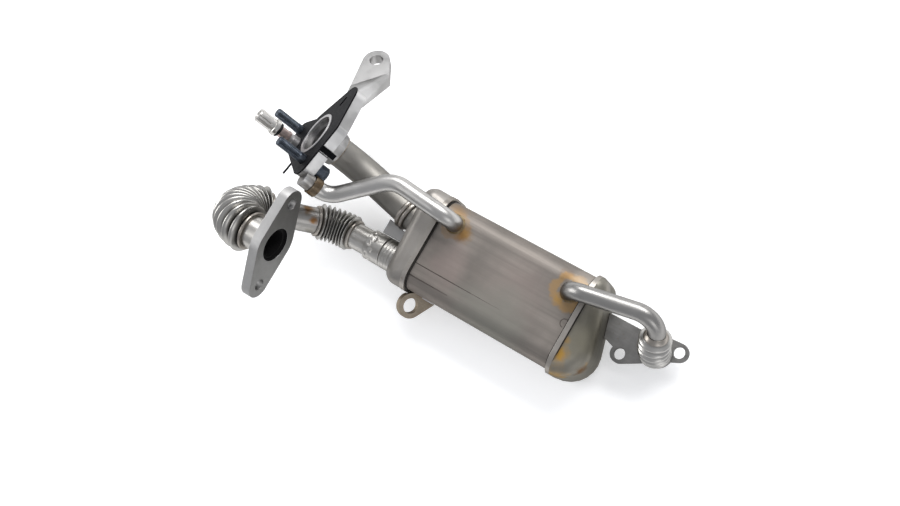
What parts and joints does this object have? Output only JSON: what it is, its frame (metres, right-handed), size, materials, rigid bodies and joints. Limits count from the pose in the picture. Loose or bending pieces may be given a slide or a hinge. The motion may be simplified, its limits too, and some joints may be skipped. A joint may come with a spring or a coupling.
{
  "type": "egr cooler",
  "caption": "Flat exhaust gas recirculation cooler with a bent bellows inlet branch, a bracketed outlet flange and bent coolant pipes; it cools exhaust gas with engine coolant.",
  "frame": {"origin": "midway between the bolt holes of the coolant flange, on its mounting face", "axes": "+X along the cooler body towards the coolant flange, +Z away from the mounting face and out of the broad face that carries the coolant pipes, +Y across the broad face towards the outlet flange's bracket ear"},
  "size_m": [0.3773, 0.2186, 0.1206],
  "materials": {
    "shell": "rolled stainless sheet with heat tint",
    "plates": "brazed stainless",
    "core": "brazed stainless",
    "domes": "pressed stainless",
    "tubing": "satin stainless",
    "bellows": "bright stainless",
    "collars": "welded stainless",
    "braze": "heat tinted braze",
    "inlet_flange": "ground steel",
    "outlet_flange": "machined cast steel",
    "gasket": "black coated sheet",
    "ring": "bare steel",
    "screws": "blue-black",
    "spigot": "turned steel",
    "seal": "black rubber",
    "pipes": "satin stainless",
    "coolant_flange": "dark steel",
    "lug": "heat tinted sheet"
  },
  "bodies": {
    "root": {"cooler_shell": "shell", "front_tube_plate": "plates", "rear_tube_plate": "plates", "header_divider": "core", "gas_tubes": "core", "gas_header": "domes", "turnaround_cap": "domes", "inlet_neck": "tubing", "neck_adaptor": "tubing", "neck_sleeve": "tubing", "link_tube": "tubing", "inlet_stub": "tubing", "outlet_tube": "tubing", "expansion_bellows": "bellows", "bellows_elbow": "bellows", "coolant_bellows": "bellows", "bellows_seat": "bellows", "bellows_collars": "collars", "outlet_collar": "collars", "port_collars": "braze", "pipe_socket": "braze", "inlet_flange": "inlet_flange", "tube_web": "domes", "outlet_flange": "outlet_flange", "outlet_gasket": "gasket", "gasket_ring": "ring", "flange_screws": "screws", "coolant_spigot": "spigot", "spigot_seal": "seal", "coolant_inlet_pipe": "pipes", "coolant_outlet_pipe": "pipes", "coolant_flange": "coolant_flange", "mounting_lug": "lug"}
  },
  "joints": []
}
